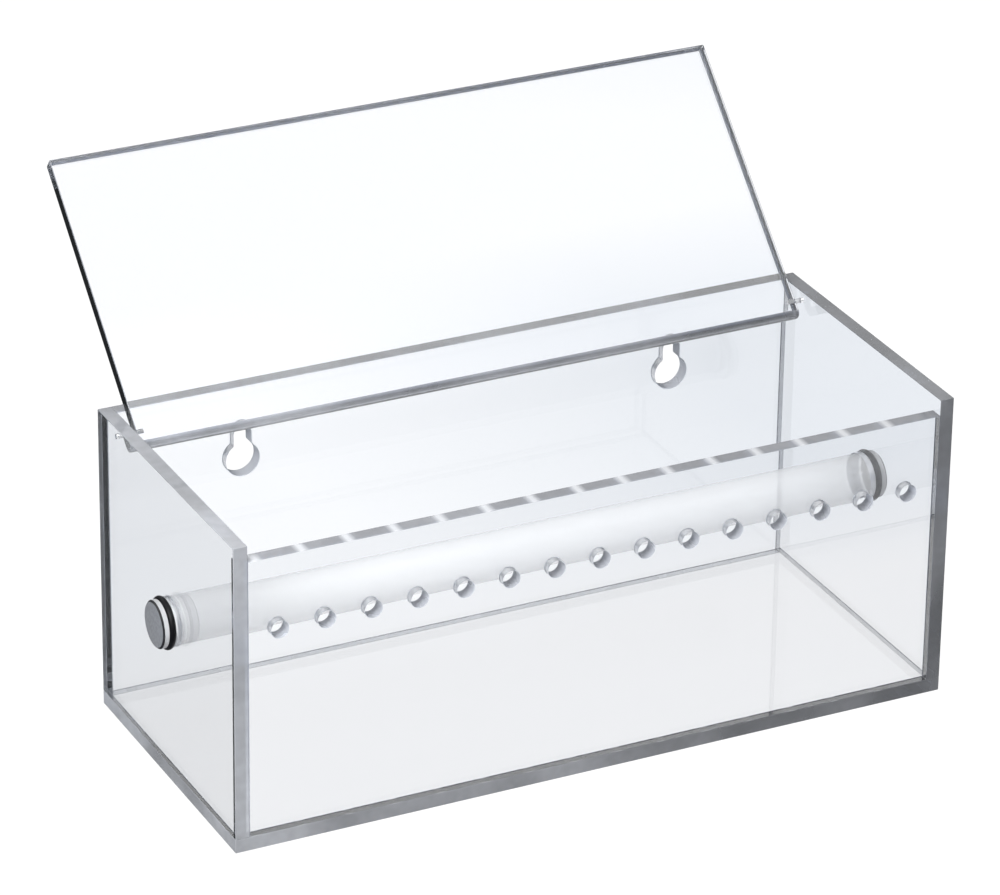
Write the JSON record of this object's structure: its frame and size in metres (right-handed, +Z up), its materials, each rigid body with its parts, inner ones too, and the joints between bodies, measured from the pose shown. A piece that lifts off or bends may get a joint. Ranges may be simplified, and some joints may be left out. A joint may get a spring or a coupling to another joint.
{
  "type": "spool dispenser box",
  "caption": "Clear acrylic box with a hinged lid, a removable rod held by rubber rings, a row of thread outlets in its front and keyholes in its back.",
  "frame": {"origin": "centre of the underside of the base panel", "axes": "+Z up from the base, +X along the box's length, +Y from the front panel towards the back panel"},
  "size_m": [0.246, 0.1546, 0.1597],
  "materials": {
    "clear_acrylic_sheet": "polished clear cast sheet with polished edges",
    "clear_acrylic_rod": "polished clear rod",
    "black_rubber": "moulded, satin"
  },
  "bodies": {
    "box": {"base_panel": "clear_acrylic_sheet", "front_panel": "clear_acrylic_sheet", "back_panel": "clear_acrylic_sheet", "left_side_panel": "clear_acrylic_sheet", "right_side_panel": "clear_acrylic_sheet"},
    "lid": {"lid": "clear_acrylic_sheet", "hinge_pin_left": "clear_acrylic_rod", "hinge_pin_right": "clear_acrylic_rod"},
    "rings": {"o_ring_left": "black_rubber", "o_ring_right": "black_rubber"},
    "rod": {"rod": "clear_acrylic_rod"}
  },
  "joints": [
    {"name": "lid_hinge", "type": "hinge", "parent": "box", "child": "lid", "pos_m": [0, 0.03729, 0.09655], "axis": [1, 0, 0], "range_deg": [0, 136.2]},
    {"name": "rod_slide", "type": "slide", "parent": "box", "child": "rings", "axis": [1, 0, 0], "range_m": [-0.24, 0.24], "deforming": ["o_ring_left", "o_ring_right"]},
    {"name": "rod_spin", "type": "hinge", "parent": "rings", "child": "rod", "pos_m": [0, -0.0017, 0.05325], "axis": [1, 0, 0], "continuous": true}
  ]
}
